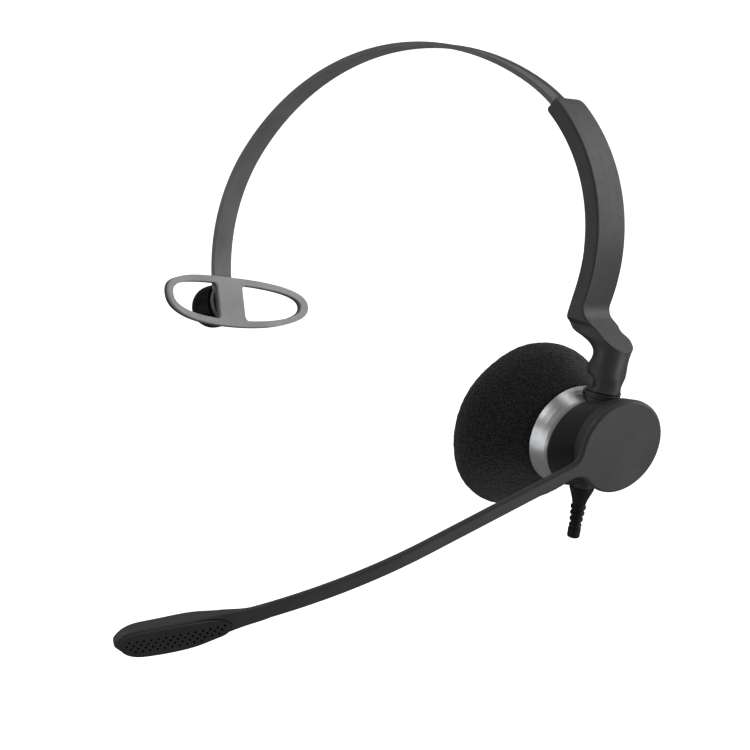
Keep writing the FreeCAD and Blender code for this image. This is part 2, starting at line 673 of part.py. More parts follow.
def speaker_dish():
    y, z = RING_CENTRE
    py, pz = PAD_CENTRE
    base = -(RING_FAR + 0.05)
    inside = oblique((base - 1.4, y, z, 11.2), (-26.0, py, pz, DISH_RADIUS - 2.2))
    inside = inside.fuse(rod_x(DISH_RADIUS - 2.2, -31, -26.0, py, pz))
    dish = dish_outline().cut(inside)
    dish = dish.cut(rod_x(3.0, base - 3, base + 1, y, z))
    return placed(dish.removeSplitter(), CUP_FRAME)


def speaker_frame():
    py, pz = PAD_CENTRE
    basket = turned([(-29.2, 10.0), (-29.2, DISH_RADIUS - 2.4), (-27.8, DISH_RADIUS - 2.4), (-27.8, 12.4),
                     (-24.6, 8.6), (-24.6, 6.3), (-25.6, 6.3), (-25.6, 8.0)], Vector(0, py, pz))
    for spoke in range(6):
        a = math.radians(60 * spoke)
        hole = rod_x(1.6, -32, -20, py + 14.8 * math.cos(a), pz + 14.8 * math.sin(a))
        basket = basket.cut(hole)
    return placed(basket, CUP_FRAME)


def speaker_magnet():
    py, pz = PAD_CENTRE
    magnet = rod_x(6.25, -25.55, -22.3, py, pz)
    magnet = magnet.cut(tube_x(4.6, 3.8, -27, -23.6, py, pz))
    return placed(magnet, CUP_FRAME)


def speaker_diaphragm():
    """Thin cone with a domed middle, in front of the magnet."""
    py, pz = PAD_CENTRE
    skin = turned([(-29.25, 0), (-29.1, 3.2), (-28.2, 4.2), (-29.3, 9.8), (-29.3, 12.0), (-29.7, 12.0),
                   (-29.7, 9.6), (-28.7, 4.3), (-29.6, 3.0), (-29.8, 0)], Vector(0, py, pz))
    return placed(skin, CUP_FRAME)


def foam_cushion():
    """Soft round cushion pulled over the dish, open at the back where the ring sits."""
    y, z = RING_CENTRE
    py, pz = PAD_CENTRE
    base = -(RING_FAR + 0.35)
    shoulder = -(PAD_FACE - 2 * PAD_RIM)
    cone = oblique((base, y, z, RING_R_FAR - 0.6), (shoulder, py, pz, PAD_RADIUS - 0.6))
    disc = rod_x(PAD_RADIUS, -PAD_FACE, shoulder, py, pz)
    disc = eased(disc, PAD_RIM - 0.3, lambda edge: edge.BoundBox.XLength < 0.01)
    disc = disc.fuse(cone).removeSplitter()
    disc = disc.cut(dish_outline(0.15))
    return placed(disc, CUP_FRAME)


def boom_axle():
    """Flanged hollow spindle riveted in the housing's front wall; the boom hub turns on it."""
    near = -(HUB_DEPTH + SEAM)
    profile = tube_x(3.5, 2.0, near - 2.6, -2.3)
    profile = profile.fuse(tube_x(4.9, 2.0, near - 2.6, near - 1.45))
    profile = profile.fuse(tube_x(5.6, 2.0, -2.3, -1.65))
    return placed(profile.removeSplitter(), CUP_FRAME)


def friction_washer():
    near = -(HUB_DEPTH + SEAM)
    return placed(tube_x(6.4, 3.6, near + 0.02, near + SEAM - 0.03), CUP_FRAME)


def junction_board():
    """Small circuit board joining the cable, the speaker and the microphone leads."""
    y, z = RING_CENTRE
    board = rod_x(9.0, -16.02, -15.02, y, z)
    board = board.cut(rod_x(1.2, -18, -14, y, z))
    for py, pz in ((-2.5, 2.0), (3.0, 2.5), (0.5, -4.0)):
        board = board.fuse(box(-16.8, -16.02, y + py - 1.1, y + py + 1.1, z + pz - 0.8, z + pz + 0.8))
    for py, pz in screw_spots():
        board = board.cut(rod_x(0.9, -20, -10, py, pz))
    return placed(board.removeSplitter(), CUP_FRAME)


def housing_screws():
    screws = []
    near = -(HUB_DEPTH + SEAM)
    for py, pz in screw_spots():
        shank = rod_x(0.78, -16.5, near - 2.6, py, pz)
        head = rod_x(1.4, -16.95, -16.04, py, pz)
        head = head.cut(box(-17.5, -16.5, py - 1.6, py + 1.6, pz - 0.2, pz + 0.2))
        screws.append(shank.fuse(head).removeSplitter())
    return placed(Part.makeCompound(screws), CUP_FRAME)


# ---------------------------------------------------------------- boom
def bar_section(distance):
    """Boom cross-section with both outer edges bevelled, in the boom frame."""
    half = BOOM_WIDTH / 2
    inner = -BOOM_THICK
    return face_of([Vector(x, distance, z) for x, z in
                    ((inner, -half), (-BOOM_BEVEL, -half), (0, -half + BOOM_BEVEL),
                     (0, half - BOOM_BEVEL), (-BOOM_BEVEL, half), (inner, half))])


def hub_plate():
    """Outer plate of the hub, running out into the boom between two hollow roundings, bevelled all round."""
    half = BOOM_WIDTH / 2
    reach = math.sqrt((HUB_RADIUS + BOOM_ROOT) ** 2 - (half + BOOM_ROOT) ** 2)
    scale = HUB_RADIUS / (HUB_RADIUS + BOOM_ROOT)
    x = -BOOM_THICK
    arcs = []
    for side in (1, -1):
        centre = Vector(x, reach, side * (half + BOOM_ROOT))
        on_hub = Vector(x, centre.y * scale, centre.z * scale)
        on_bar = Vector(x, reach, side * half)
        middle = centre + unit((on_hub + on_bar) * 0.5 - centre) * BOOM_ROOT
        arcs.append((on_bar, middle, on_hub))
    upper, lower = arcs
    end_up = Vector(x, BOOM_STRAIGHT, half)
    end_low = Vector(x, BOOM_STRAIGHT, -half)
    edges = [
        Part.makeLine(end_up, upper[0]),
        Part.Arc(*upper).toShape(),
        Part.Arc(upper[2], Vector(x, -HUB_RADIUS, 0), lower[2]).toShape(),
        Part.Arc(*reversed(lower)).toShape(),
        Part.makeLine(lower[0], end_low),
        Part.makeLine(end_low, end_up),
    ]
    plate = Part.Face(Part.Wire(edges)).extrude(X * BOOM_THICK)
    rim = [edge for edge in plate.Edges if outer_rim(edge)]
    return plate.makeChamfer(BOOM_BEVEL, rim)


def outer_rim(edge):
    """Edges round the plate's outer face, without the end that carries on as the bend."""
    at = edge.BoundBox
    return abs(at.XMin) < 1e-4 and abs(at.XMax) < 1e-4 and at.YMin < BOOM_STRAIGHT - 0.01


MIC_STATIONS = (
    # distance, upper and lower edge, inner and outer face about the centre line, corner radius
    (MIC_START, -2.15, 2.15, -0.78, 0.7, 0.6),
    (122.0, -2.45, 2.4, -1.0, 0.825, 0.5),
    (125.5, -2.65, 2.75, -1.7, 0.83, 0.7),
    (129.0, -2.85, 3.4, -2.8, 0.85, 1.0),
    (133.0, -2.95, 4.3, -3.9, 0.9, 1.3),
    (137.0, -3.0, 5.1, -5.0, 0.95, 1.5),
    (142.0, -3.0, 5.7, -5.5, 1.0, 1.6),
    (147.0, -3.0, 5.85, -5.3, 1.0, 1.6),
    (152.0, -3.0, 5.95, -5.0, 1.0, 1.6),
    (156.2, -2.7, 5.6, -4.6, 0.8, 1.5),
    (159.2, -1.8, 4.4, -3.8, 0.35, 1.4),
    (MIC_END, -0.3, 2.6, -2.6, -0.4, 1.0),
)


def mic_section(distance, upper, lower, inner, outer, radius):
    """Rounded rectangle square to the microphone's length, as a wire of eight edges."""
    bite = radius * (1 - math.sqrt(0.5))
    frame_here = bend_frame(distance)

    def point(y, z):
        return frame_here.multVec(Vector(0, y, z))

    edges = []
    corners = ((lower, 1, outer, 1), (upper, -1, outer, 1), (upper, -1, inner, -1), (lower, 1, inner, -1))
    stops = []
    for y, sy, z, sz in corners:
        on_side = point(y, z - sz * radius)
        middle = point(y - sy * bite, z - sz * bite)
        on_face = point(y - sy * radius, z)
        stops.append((on_side, middle, on_face) if sy * sz > 0 else (on_face, middle, on_side))
    for index, (start, middle, stop) in enumerate(stops):
        edges.append(Part.Arc(start, middle, stop).toShape())
        edges.append(Part.makeLine(stop, stops[(index + 1) % 4][0]))
    return Part.Wire(edges)


def curved_layer(low, high):
    """Shell that follows the bend between two heights over the boom's centre line."""
    base = BEND_CENTRE - Z * 20
    outer = Part.makeCylinder(BOOM_BEND_RADIUS + high, 40, base, Z)
    return outer.cut(Part.makeCylinder(BOOM_BEND_RADIUS + low, 40, base, Z))


INSERT_EDGE = (
    # distance along the boom, position across it, round the grille insert
    (128.1, 0.8), (129.2, 2.55), (133.0, 3.75), (137.0, 4.6), (142.0, 5.2), (147.0, 5.4), (152.0, 5.4),
    (156.0, 5.0), (158.7, 3.5), (159.6, 1.5), (158.7, -0.6), (156.0, -2.1), (152.0, -2.55), (147.0, -2.6),
    (142.0, -2.6), (137.0, -2.5), (133.0, -2.25), (130.2, -1.55), (128.7, -0.5),
)


def insert_face(grow):
    """Teardrop outline of the grille insert, widened all round, square to the boom's face."""
    frame_here = bend_frame(MIC_MIDDLE)
    points = []
    for index, (along, across) in enumerate(INSERT_EDGE):
        before = Vector(*INSERT_EDGE[index - 1], 0)
        after = Vector(*INSERT_EDGE[(index + 1) % len(INSERT_EDGE)], 0)
        run = unit(after - before)
        spot = Vector(along - run.y * grow - MIC_MIDDLE, across + run.x * grow, -4)
        points.append(frame_here.multVec(spot))
    curve = Part.BSplineCurve()
    curve.interpolate(Points=points, PeriodicFlag=True)
    return Part.Face(Part.Wire([curve.toShape()]))


def insert_prism(grow):
    return insert_face(grow).extrude(bend_frame(MIC_MIDDLE).Rotation.multVec(Z) * 12)


def in_head(shape):
    """From the frame at the middle of the microphone to the whole headset."""
    return placed(placed(shape, bend_frame(MIC_MIDDLE)), BOOM_FRAME)


def boom_arm():
    """One moulding: hub cup, flat boom and microphone body."""
    cone = oblique((-BOOM_THICK, 0, 0, HUB_RADIUS), (-HUB_DEPTH, 0, 0, HUB_R_BACK))
    arm = hub_plate().fuse(cone)
    arm = arm.cut(rod_x(HUB_R_BACK - HUB_WALL, -HUB_DEPTH - 1, -1.3))
    bend = math.degrees((MIC_START + BAR_OVERLAP - BOOM_STRAIGHT) / BOOM_BEND_RADIUS)
    arm = arm.fuse(bar_section(BOOM_STRAIGHT).revolve(BEND_CENTRE, Z, bend))
    head = Part.makeLoft([mic_section(*station) for station in MIC_STATIONS], True, False)
    arm = arm.fuse(head)
    arm = arm.cut(insert_prism(GRILLE_GROOVE).common(curved_layer(GRILLE_BACK - FIT, 6)))
    arm = placed(arm, BOOM_FRAME)
    arm = arm.cut(in_head(box(-6.2, 7.2, -1.6, 4.3, CAVITY_FLOOR, 3)))
    for hole in range(4):
        arm = arm.cut(in_head(rod_z(0.45, -8, CAVITY_FLOOR + 0.5, -3.5 + 2.5 * hole, 1.35)))
    return arm


def boom_hub_base():
    """Bearing plate closing the hub's inner side; its sleeve runs on the axle."""
    plate = rod_x(HUB_R_BACK - HUB_WALL - FIT, -HUB_DEPTH, -HUB_DEPTH + 1.4)
    sleeve = rod_x(5.6, -HUB_DEPTH, -2.38)
    base = plate.fuse(sleeve).cut(rod_x(3.5 + RUN, -10, 1))
    for y, z in hub_screw_spots():
        base = base.cut(rod_x(0.8, -8, 0, y, z))
    return placed(base.removeSplitter(), BOOM_FRAME)


def hub_screw_spots():
    turns = [math.radians(120 * turn + 30) for turn in range(3)]
    return [(9.0 * math.cos(a), 9.0 * math.sin(a)) for a in turns]


def hub_screws():
    screws = [rod_x(0.78, -HUB_DEPTH + 0.1, -1.9, y, z) for y, z in hub_screw_spots()]
    return placed(Part.makeCompound(screws), BOOM_FRAME)


def mic_grille():
    """Perforated teardrop insert over the microphone, standing in a narrow groove."""
    plate = insert_prism(0).common(curved_layer(GRILLE_BACK, GRILLE_FACE))
    plate = placed(plate, BOOM_FRAME)
    field = insert_face(-HOLE_MARGIN)
    for row in range(HOLE_ROWS):
        across = FIRST_ROW + ROW_PITCH * row
        for step in range(HOLES_IN_ROW):
            along = -13.2 + HOLE_PITCH * (step + 0.5 * (row % 2))
            spot = bend_frame(MIC_MIDDLE).multVec(Vector(along, across, -4))
            if field.isInside(spot, 0.01, True):
                plate = plate.cut(in_head(rod_z(HOLE_RADIUS, -2, 4, along, across)))
    return plate


def mic_foam():
    return in_head(box(-6.0, 7.0, -1.4, 4.1, -0.5, 0.25))


def mic_boot():
    """Rubber boot that holds the capsule clear of the moulding."""
    boot = box(-5.2, 5.8, -1.3, 4.0, -3.7, -0.6)
    boot = boot.cut(rod_z(2.05, -3.2, 0, 0.2, 1.35))
    boot = boot.cut(rod_z(0.5, -5, 0, 0.2, 1.35))
    return in_head(boot)


def mic_capsule():
    capsule = rod_z(2.0, -3.15, -0.7, 0.2, 1.35)
    capsule = capsule.cut(rod_z(0.4, -1.1, 0, 0.2, 1.35))
    return in_head(capsule)


# ---------------------------------------------------------------- write every node
os.makedirs("parts", exist_ok=True)
write("headband_strip", headband_strip())
write("headband_end_stop", end_stop())
write("pivot_knob", placed(knob_shell(), BAND_END_FRAME))
write("pivot_stud", placed(pivot_stud(), BAND_END_FRAME))
write("pivot_washer", placed(pivot_washer(), BAND_END_FRAME))
write("pivot_knuckle", placed(pivot_knuckle(), REST_FRAME))
write("tilt_pin", placed(tilt_pin(), REST_FRAME))
write("temple_rest_frame", placed(temple_rest_frame(), REST_FRAME))
write("temple_rest_pad", placed(temple_rest_pad(), REST_FRAME))
write("arm_outer_shell", arm_outer_shell())
write("arm_inner_cover", arm_inner_cover())
write("arm_cover_screws", arm_cover_screws())
write("detent_spring", detent_spring())
write("neck_bush", neck_bush())
write("swivel_post", swivel_post())
write("retaining_clip", retaining_clip())
write("neck_collar", neck_collar())
write("cup_housing", cup_housing())
write("strain_relief", strain_relief())
write("cable_clamp", cable_clamp())
write("trim_ring", trim_ring())
write("speaker_dish", speaker_dish())
write("speaker_frame", speaker_frame())
write("speaker_magnet", speaker_magnet())
write("speaker_diaphragm", speaker_diaphragm())
write("foam_cushion", foam_cushion())
write("boom_axle", boom_axle())
write("friction_washer", friction_washer())
write("junction_board", junction_board())
write("housing_screws", housing_screws())
write("boom_arm", boom_arm())
write("boom_hub_base", boom_hub_base())
write("hub_screws", hub_screws())
write("mic_grille", mic_grille())
write("mic_foam", mic_foam())
write("mic_boot", mic_boot())
write("mic_capsule", mic_capsule())
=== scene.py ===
"""Looks of the single-ear office headset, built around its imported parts.

Metres, in the parts' own frame: +Z up, +X towards the ear cup, -Y to the wearer's front.
The origin is the crown.
"""
import json
import math

import bmesh
import bpy
from mathutils import Matrix, Vector, noise


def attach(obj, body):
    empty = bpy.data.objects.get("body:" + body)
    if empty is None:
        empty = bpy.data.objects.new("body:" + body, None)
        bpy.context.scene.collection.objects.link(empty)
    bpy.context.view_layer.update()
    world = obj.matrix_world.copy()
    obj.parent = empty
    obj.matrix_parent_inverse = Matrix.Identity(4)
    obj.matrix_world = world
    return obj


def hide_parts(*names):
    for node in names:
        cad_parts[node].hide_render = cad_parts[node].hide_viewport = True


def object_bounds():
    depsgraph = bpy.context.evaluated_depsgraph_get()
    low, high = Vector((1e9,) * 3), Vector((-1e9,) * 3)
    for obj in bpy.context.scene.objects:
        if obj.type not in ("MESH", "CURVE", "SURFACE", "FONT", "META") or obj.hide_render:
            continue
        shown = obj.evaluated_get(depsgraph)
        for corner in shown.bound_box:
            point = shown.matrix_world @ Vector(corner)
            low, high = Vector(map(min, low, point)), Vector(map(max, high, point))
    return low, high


MM = 0.001

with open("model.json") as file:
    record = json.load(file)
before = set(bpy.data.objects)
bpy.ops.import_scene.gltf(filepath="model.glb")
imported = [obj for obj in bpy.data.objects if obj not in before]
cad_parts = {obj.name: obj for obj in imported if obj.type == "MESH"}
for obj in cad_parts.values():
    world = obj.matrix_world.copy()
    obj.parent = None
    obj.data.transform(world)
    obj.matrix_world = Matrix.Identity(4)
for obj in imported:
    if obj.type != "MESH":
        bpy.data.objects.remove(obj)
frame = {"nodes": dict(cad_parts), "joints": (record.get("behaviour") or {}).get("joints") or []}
cad_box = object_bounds()
nodes = frame["nodes"]
joints = {joint["name"]: joint for joint in frame["joints"]}


# ---------------------------------------------------------------- cup frame, taken from the boom joint
def frame_at(origin, x_axis, y_axis):
    """Matrix with its origin and two square axes, the third by the right-hand rule."""
    x_axis = Vector(x_axis).normalized()
    y_axis = Vector(y_axis).normalized()
    z_axis = x_axis.cross(y_axis)
    matrix = Matrix((x_axis, y_axis, z_axis)).transposed().to_4x4()
    matrix.translation = Vector(origin)
    return matrix


HUB = Vector(joints["boom_rotate"]["pos_m"])
HUB_OUT = Vector(joints["boom_rotate"]["axis"]).normalized()
HUB_BACK = Vector((0, 0, 1)).cross(HUB_OUT).normalized()
CUP = frame_at(HUB, HUB_OUT, HUB_BACK)              # x out of the hub, y backwards, z up the cup


# ---------------------------------------------------------------- finishes
def node(tree, kind, **settings):
    """Shader node with its properties and unlinked inputs set by name."""
    made = tree.nodes.new(kind)
    for key, value in settings.items():
        if hasattr(made, key):
            setattr(made, key, value)
        else:
            made.inputs[key.replace("_", " ")].default_value = value
    return made


def new_finish(name, **sockets):
    """Material with a Principled shader whose even values sit on its own sockets."""
    material = bpy.data.materials.new(name)
    material.use_nodes = True
    tree = material.node_tree
    shader = tree.nodes["Principled BSDF"]
    for key, value in sockets.items():
        shader.inputs[key.replace("_", " ")].default_value = value
    return material, tree, shader


def place_noise(tree, scale, detail=2.0, stretch=(1, 1, 1)):
    """Noise fixed to the piece; scale is in features per metre."""
    where = node(tree, "ShaderNodeTexCoord")
    mapping = node(tree, "ShaderNodeMapping")
    mapping.inputs["Scale"].default_value = stretch
    noise_node = node(tree, "ShaderNodeTexNoise", Scale=scale, Detail=detail, Roughness=0.6)
    tree.links.new(where.outputs["Object"], mapping.inputs["Vector"])
    tree.links.new(mapping.outputs["Vector"], noise_node.inputs["Vector"])
    return noise_node


def tint(tree, shader, source, dark, light, low=0.35, high=0.65):
    ramp = node(tree, "ShaderNodeValToRGB")
    ramp.color_ramp.elements[0].position = low
    ramp.color_ramp.elements[1].position = high
    ramp.color_ramp.elements[0].color = (*dark, 1)
    ramp.color_ramp.elements[1].color = (*light, 1)
    tree.links.new(source.outputs["Fac"], ramp.inputs["Fac"])
    tree.links.new(ramp.outputs["Color"], shader.inputs["Base Color"])


def vary_gloss(tree, shader, source, low, high):
    spread = node(tree, "ShaderNodeMapRange")
    spread.inputs["From Min"].default_value = 0.3
    spread.inputs["From Max"].default_value = 0.7
    spread.inputs["To Min"].default_value = low
    spread.inputs["To Max"].default_value = high
    tree.links.new(source.outputs["Fac"], spread.inputs["Value"])
    tree.links.new(spread.outputs["Result"], shader.inputs["Roughness"])


def relief(tree, shader, source, strength, depth, edge=0.0):
    """Fine bump, over softly rounded edges where edge is a radius."""
    bump = node(tree, "ShaderNodeBump", Strength=strength, Distance=depth)
    tree.links.new(source.outputs["Fac"], bump.inputs["Height"])
    if edge:
        bevel = node(tree, "ShaderNodeBevel", Radius=edge)
        tree.links.new(bevel.outputs["Normal"], bump.inputs["Normal"])
    tree.links.new(bump.outputs["Normal"], shader.inputs["Normal"])


def moulded(name, level, gloss, grain=2600.0, depth=0.03, edge=0.3, shine=0.5):
    """Spark-grained moulded plastic.

    level is the grey, gloss the roughness, grain in grains per metre, depth and edge in millimetres.
    """
    material, tree, shader = new_finish(name, Specular_IOR_Level=shine)
    broad = place_noise(tree, 55.0, 3.0)
    fine = place_noise(tree, grain, 2.0)
    tint(tree, shader, broad, [0.86 * level] * 3, [1.12 * level] * 3)
    vary_gloss(tree, shader, place_noise(tree, 420.0), gloss - 0.05, gloss + 0.06)
    relief(tree, shader, fine, 0.55, depth * MM, edge * MM)
    return material


FOAM_CELLS = 1500.0                  # cells per metre, as the pattern's scale
FOAM_THREADS = 1700.0                # finer mottling of the cell walls
# darkest tone, painted shade deep in the pores
FOAM_PORE_SHADE = (0.003, 0.003, 0.0033, 1)
FOAM_LIGHT = (0.050, 0.050, 0.054, 1)
FOAM_PORE = 0.6                      # pore depth, mm


def foam_finish():
    """Open-cell foam: pores darkened with painted shade, lighter threads of cell wall, soft sheen."""
    material, tree, shader = new_finish("black_foam", Roughness=0.95, Specular_IOR_Level=0.15,
                                        Sheen_Weight=0.25, Sheen_Roughness=0.5)
    where = node(tree, "ShaderNodeTexCoord")
    cells = node(tree, "ShaderNodeTexVoronoi", Scale=FOAM_CELLS, Randomness=1.0)
    cells.feature = "DISTANCE_TO_EDGE"
    tree.links.new(where.outputs["Object"], cells.inputs["Vector"])
    speckle = place_noise(tree, FOAM_THREADS, 3.0)
    mixed = node(tree, "ShaderNodeMath", operation="SUBTRACT")
    tree.links.new(speckle.outputs["Fac"], mixed.inputs[0])
    tree.links.new(cells.outputs["Distance"], mixed.inputs[1])
    # painted shade in the pores: colour darkens away from the cell walls, while the speckle adds random
    # tone
    ramp = node(tree, "ShaderNodeValToRGB")
    ramp.color_ramp.elements[0].position = 0.22
    ramp.color_ramp.elements[1].position = 0.50
    ramp.color_ramp.elements[0].color = FOAM_PORE_SHADE
    ramp.color_ramp.elements[1].color = FOAM_LIGHT
    tree.links.new(mixed.outputs[0], ramp.inputs["Fac"])
    tree.links.new(ramp.outputs["Color"], shader.inputs["Base Color"])
    bump = node(tree, "ShaderNodeBump", Strength=1.0, Distance=FOAM_PORE * MM)
    tree.links.new(mixed.outputs[0], bump.inputs["Height"])
    tree.links.new(bump.outputs["Normal"], shader.inputs["Normal"])
    return material


def satin_finish():
    """Satin silver trim with a fine grain bump."""
    material, tree, shader = new_finish("satin_silver", Metallic=1.0, Specular_IOR_Level=0.5)
    broad = place_noise(tree, 120.0, 2.0)
    tint(tree, shader, broad, (0.60, 0.61, 0.63), (0.72, 0.73, 0.74))
    vary_gloss(tree, shader, place_noise(tree, 900.0), 0.28, 0.36)
    relief(tree, shader, place_noise(tree, 3000.0), 0.25, 0.01 * MM, 0.2 * MM)
    return material


def metal_finish(name, level, gloss):
    material, tree, shader = new_finish(name, Metallic=1.0)
    tint(tree, shader, place_noise(tree, 200.0), [0.85 * level] * 3, [level] * 3)
    vary_gloss(tree, shader, place_noise(tree, 700.0), gloss - 0.06, gloss + 0.06)
    relief(tree, shader, place_noise(tree, 2500.0), 0.3, 0.01 * MM, 0.1 * MM)
    return material


def rubber_finish(name, level):
    material, tree, shader = new_finish(name, Specular_IOR_Level=0.35)
    tint(tree, shader, place_noise(tree, 150.0), [0.8 * level] * 3, [1.2 * level] * 3)
    vary_gloss(tree, shader, place_noise(tree, 500.0), 0.5, 0.66)
    relief(tree, shader, place_noise(tree, 3400.0), 0.4, 0.015 * MM, 0.15 * MM)
    return material


def board_finish():
    """Green solder mask with paler tracks."""
    material, tree, shader = new_finish("circuit_board", Roughness=0.35)
    tracks = place_noise(tree, 600.0, 1.0, (1, 3, 1))
    tint(tree, shader, tracks, (0.004, 0.05, 0.012), (0.02, 0.16, 0.05), 0.48, 0.52)
    relief(tree, shader, place_noise(tree, 900.0), 0.3, 0.02 * MM)
    return material


STEEL_NODES = ["pivot_stud", "pivot_washer", "tilt_pin", "arm_cover_screws", "detent_spring", "swivel_post",
               "retaining_clip", "speaker_magnet", "boom_axle", "friction_washer", "housing_screws",
               "hub_screws", "mic_capsule"]
INNER_NODES = ["speaker_dish", "speaker_frame", "speaker_diaphragm", "neck_bush", "cable_clamp"]


def dress():
    """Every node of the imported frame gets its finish."""
    shell = moulded("arm_plastic", 0.060, 0.46)
    rest_face = moulded("rest_face", 0.480, 0.62, grain=2200.0, depth=0.02, edge=0.25)
    finishes = {
        moulded("band_plastic", 0.200, 0.40, edge=0.15): ["headband_strip", "headband_end_stop"],
        moulded("knob_plastic", 0.003, 0.40, edge=0.2, shine=0.12): ["pivot_knob", "pivot_knuckle"],
        moulded("rest_plastic", 0.100, 0.50, edge=0.25): ["temple_rest_frame"],
        rest_face: ["temple_rest_pad"],
        shell: ["arm_outer_shell", "arm_inner_cover"],
        moulded("cup_plastic", 0.045, 0.46, shine=0.4): ["cup_housing", "neck_collar"],
        moulded("boom_plastic", 0.062, 0.46, edge=0.25): ["boom_arm", "boom_hub_base"],
        moulded("grille_plastic", 0.040, 0.46, edge=0.2): ["mic_grille"],
        moulded("inner_plastic", 0.030, 0.5): INNER_NODES,
        rubber_finish("relief_rubber", 0.008): ["strain_relief", "mic_boot"],
        satin_finish(): ["trim_ring"],
        metal_finish("steel", 0.56, 0.3): STEEL_NODES,
        board_finish(): ["junction_board"],
        FOAM: ["foam_cushion", "mic_foam"],
    }
    for finish, names in finishes.items():
        for name in names:
            for slot in nodes[name].material_slots:
                slot.material = finish


# ---------------------------------------------------------------- foam cushion
RING_AXIS = Vector((0, -5.04, -2.85)) * MM      # trim ring's axis in the cup frame
PAD_AXIS = Vector((0, -7.6, -6.8)) * MM        # cushion's axis
UNDERSIDE = math.radians(293)                   # direction about the cup's axis where the dome is slimmer
CUSHION_TURNS = 300                             # points round the cushion
DISH_WALL = (
    # depth and radius of the skin over the speaker dish, mm
    (27.0, 20.35), (30.4, 20.35), (30.6, 19.0), (30.6, 8.0),
)
CUSHION_PROFILE = (
    # depth behind the hub face, share of the way from ring axis to pad axis, radius, slimming below; all mm
    (24.0, 0.30, 13.4, 0.0), (20.0, 0.08, 13.2, 0.0), (18.4, 0.0, 13.6, 0.0), (17.9, 0.0, 14.3, 0.0),
    (18.3, 0.0, 15.1, 0.0), (19.6, 0.12, 16.3, 0.3), (22.0, 0.35, 18.3, 0.7), (24.6, 0.60, 20.7, 1.1),
    (27.2, 0.80, 23.0, 1.6), (29.6, 0.92, 24.8, 2.3), (31.8, 0.98, 25.8, 1.9), (33.8, 1.0, 26.2, 0.9),
    (35.7, 1.0, 26.0, 0.2), (37.5, 1.0, 24.9, 0.0), (38.8, 1.0, 23.1, 0.0), (39.5, 1.0, 20.6, 0.0),
    (39.75, 1.0, 17.0, 0.0), (39.6, 1.0, 12.0, 0.0), (39.3, 1.0, 7.0, 0.0), (39.1, 1.0, 2.5, 0.0),
)


def smooth_rows(profile, steps):
    """Catmull-Rom curve through the profile's stations."""
    rows = []
    count = len(profile)
    for index in range(count - 1):
        p = [Vector(profile[min(max(index + k, 0), count - 1)]) for k in (-1, 0, 1, 2)]
        for step in range(steps):
            t = step / steps
            square = 2 * p[0] - 5 * p[1] + 4 * p[2] - p[3]
            cube = 3 * p[1] - p[0] - 3 * p[2] + p[3]
            rows.append(0.5 * (2 * p[1] + (p[2] - p[0]) * t + square * t ** 2 + cube * t ** 3))
    rows.append(Vector(profile[-1]))
    return rows


def cushion_skin(turns, steps):
    """Soft oblique dome from the trim ring to the ear, with the shallow unevenness of cut foam."""
    build = bmesh.new()
    rows = []
    for depth, share, radius, slimming in smooth_rows(CUSHION_PROFILE, steps):
        middle = RING_AXIS.lerp(PAD_AXIS, share)
        row = []
        for i in range(turns):
            a = math.tau * i / turns
            spoke = Vector((0, math.cos(a), math.sin(a)))
            slim = slimming * max(0.0, math.cos(a - UNDERSIDE)) ** 1.5
            point = middle + spoke * ((radius - slim) * MM) - Vector((depth * MM, 0, 0))
            lump = noise.noise(point * 90) * 0.22 + noise.noise(point * 620) * 0.10
            pore = noise.noise(point * 1900) * 0.07
            outward = (spoke - Vector((0.5, 0, 0))).normalized() if depth > 30 else spoke
            point += outward * ((lump + pore) * MM)
            row.append(build.verts.new(CUP @ point))
        rows.append(row)
    for near, far in zip(rows, rows[1:]):
        for i in range(turns):
            k = (i + 1) % turns
            build.faces.new((near[i], near[k], far[k], far[i]))
    hub = build.verts.new(CUP @ (PAD_AXIS - Vector((39.05 * MM, 0, 0))))
    for i in range(turns):
        build.faces.new((rows[-1][i], rows[-1][(i + 1) % turns], hub))
    return build, rows


def dish_side(build, rows, turns):
    """The cushion's hidden inner skin, over the speaker dish, that closes its volume."""
    inner = []
    for depth, radius in DISH_WALL:
        row = []
        for i in range(turns):
            a = math.tau * i / turns
            offset = Vector((-depth, radius * math.cos(a), radius * math.sin(a))) * MM
            row.append(build.verts.new(CUP @ (PAD_AXIS + offset)))
        inner.append(row)
    chain = [rows[0]] + inner
    for near, far in zip(chain, chain[1:]):
        for i in range(turns):
            k = (i + 1) % turns
            build.faces.new((near[k], near[i], far[i], far[k]))
    hub = build.verts.new(CUP @ (PAD_AXIS - Vector((30.6 * MM, 0, 0))))
    for i in range(turns):
        build.faces.new((inner[-1][(i + 1) % turns], inner[-1][i], hub))


def finish_mesh(name, build, material, body, stands_for):
    mesh = bpy.data.meshes.new(name)
    bmesh.ops.recalc_face_normals(build, faces=build.faces)
    build.to_mesh(mesh)
    build.free()
    mesh.polygons.foreach_set("use_smooth", [True] * len(mesh.polygons))
    mesh.materials.append(material)
    piece = bpy.data.objects.new(name, mesh)
    bpy.context.scene.collection.objects.link(piece)
    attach(piece, body)
    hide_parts(stands_for)
    return piece


def add_cushion():
    turns = CUSHION_TURNS
    build, rows = cushion_skin(turns, 7)
    dish_side(build, rows, turns)
    piece = finish_mesh("ear_cushion", build, FOAM, "ear_cup", "foam_cushion")


FOAM = foam_finish()
dress()
add_cushion()


# ---------------------------------------------------------------- camera, light and floor
CAMERA_TARGET = Vector((-6.96, -10.0, -100.2)) * MM
CAMERA_AWAY = Vector((0.60168, -0.79845, 0.02155)).normalized()
CAMERA_RIGHT = Vector((0.7986, 0.6018, 0.0)).normalized()
CAMERA_DISTANCE = 0.810
CAMERA_LENS = 127.2


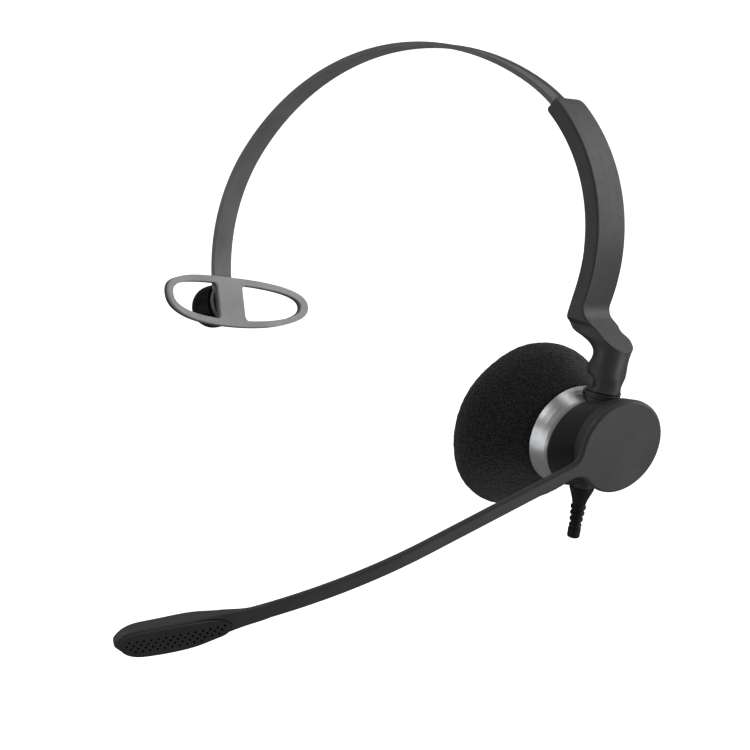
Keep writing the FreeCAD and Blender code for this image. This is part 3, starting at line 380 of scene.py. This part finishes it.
def add_camera():
    """Long lens, 37 degrees round to the wearer's front left, almost level."""
    data = bpy.data.cameras.new("camera")
    data.sensor_width = 36.0
    data.lens = CAMERA_LENS
    data.clip_start = 0.05
    camera = bpy.data.objects.new("camera", data)
    bpy.context.scene.collection.objects.link(camera)
    up = CAMERA_AWAY.cross(CAMERA_RIGHT)
    rotation = Matrix((CAMERA_RIGHT, up, CAMERA_AWAY)).transposed()
    place = CAMERA_TARGET + CAMERA_AWAY * CAMERA_DISTANCE
    camera.matrix_world = Matrix.Translation(place) @ rotation.to_4x4()
    bpy.context.scene.camera = camera


def add_area(name, place, aim, side, power):
    """Square soft light of the given side in metres and power in watts, turned towards its aim."""
    data = bpy.data.lights.new(name, "AREA")
    data.shape = "RECTANGLE"
    data.size = side
    data.size_y = side
    data.energy = power
    light = bpy.data.objects.new(name, data)
    bpy.context.scene.collection.objects.link(light)
    direction = Vector(aim) - Vector(place)
    light.rotation_euler = direction.to_track_quat("-Z", "Y").to_euler()
    light.location = place


def add_world(strength):
    world = bpy.data.worlds.new("studio")
    bpy.context.scene.world = world
    world.use_nodes = True
    background = world.node_tree.nodes["Background"]
    background.inputs["Color"].default_value = (1, 1, 1, 1)
    background.inputs["Strength"].default_value = strength


FLOOR_GAP = 0.06                     # below the headset's lowest point
FLOOR_RINGS = (
    # radius and height above the floor's middle: flat, then curving up
    (0.9, 0.0), (1.3, 0.03), (1.6, 0.15), (1.8, 0.4), (1.9, 1.0), (1.9, 2.4),
)


def add_floor():
    """Pale floor below the headset that curves up into a backdrop on every side."""
    ground = cad_box[0][2] - FLOOR_GAP
    mesh = bpy.data.meshes.new("studio_floor")
    build = bmesh.new()
    turns = 64
    rows = []
    for radius, height in FLOOR_RINGS:
        row = []
        for i in range(turns):
            a = math.tau * i / turns
            row.append(build.verts.new((radius * math.cos(a), radius * math.sin(a), ground + height)))
        rows.append(row)
    centre = build.verts.new((0, 0, ground))
    for i in range(turns):
        build.faces.new((centre, rows[0][i], rows[0][(i + 1) % turns]))
    for lower, upper in zip(rows, rows[1:]):
        for i in range(turns):
            k = (i + 1) % turns
            build.faces.new((lower[i], upper[i], upper[k], lower[k]))
    build.normal_update()
    build.to_mesh(mesh)
    build.free()
    mesh.polygons.foreach_set("use_smooth", [True] * len(mesh.polygons))
    floor = bpy.data.objects.new("studio_floor", mesh)
    bpy.context.scene.collection.objects.link(floor)
    paper = new_finish("white_paper", Base_Color=(0.95, 0.95, 0.95, 1), Roughness=0.95,
                       Emission_Color=(1, 1, 1, 1), Emission_Strength=1.0)[0]
    mesh.materials.append(paper)
    # the paper is seen but sends no light back on to the headset
    floor.visible_diffuse = False
    floor.visible_glossy = False
    floor.visible_shadow = False


AIM = (0, 0, -0.10)
AREA_LIGHTS = (
    # name, place, aim, side, power
    ("rim_behind", (0.75, 1.0, 0.45), AIM, 1.2, 6),
    ("overhead", (0.1, 0.2, 1.1), AIM, 1.0, 3),
    ("front_left_high", (-0.7, -0.8, 0.75), AIM, 0.6, 2),
    ("ear_side_low", (1.1, 0.3, -0.35), AIM, 0.7, 4.5),
    ("left_card", (-0.8, -1.1, -0.35), (0.05, 0, -0.11), 0.9, 2.4),
)
WORLD_STRENGTH = 0.16

add_camera()
add_world(WORLD_STRENGTH)
add_floor()
for light in AREA_LIGHTS:
    add_area(*light)
bpy.context.scene.view_settings.view_transform = "Standard"
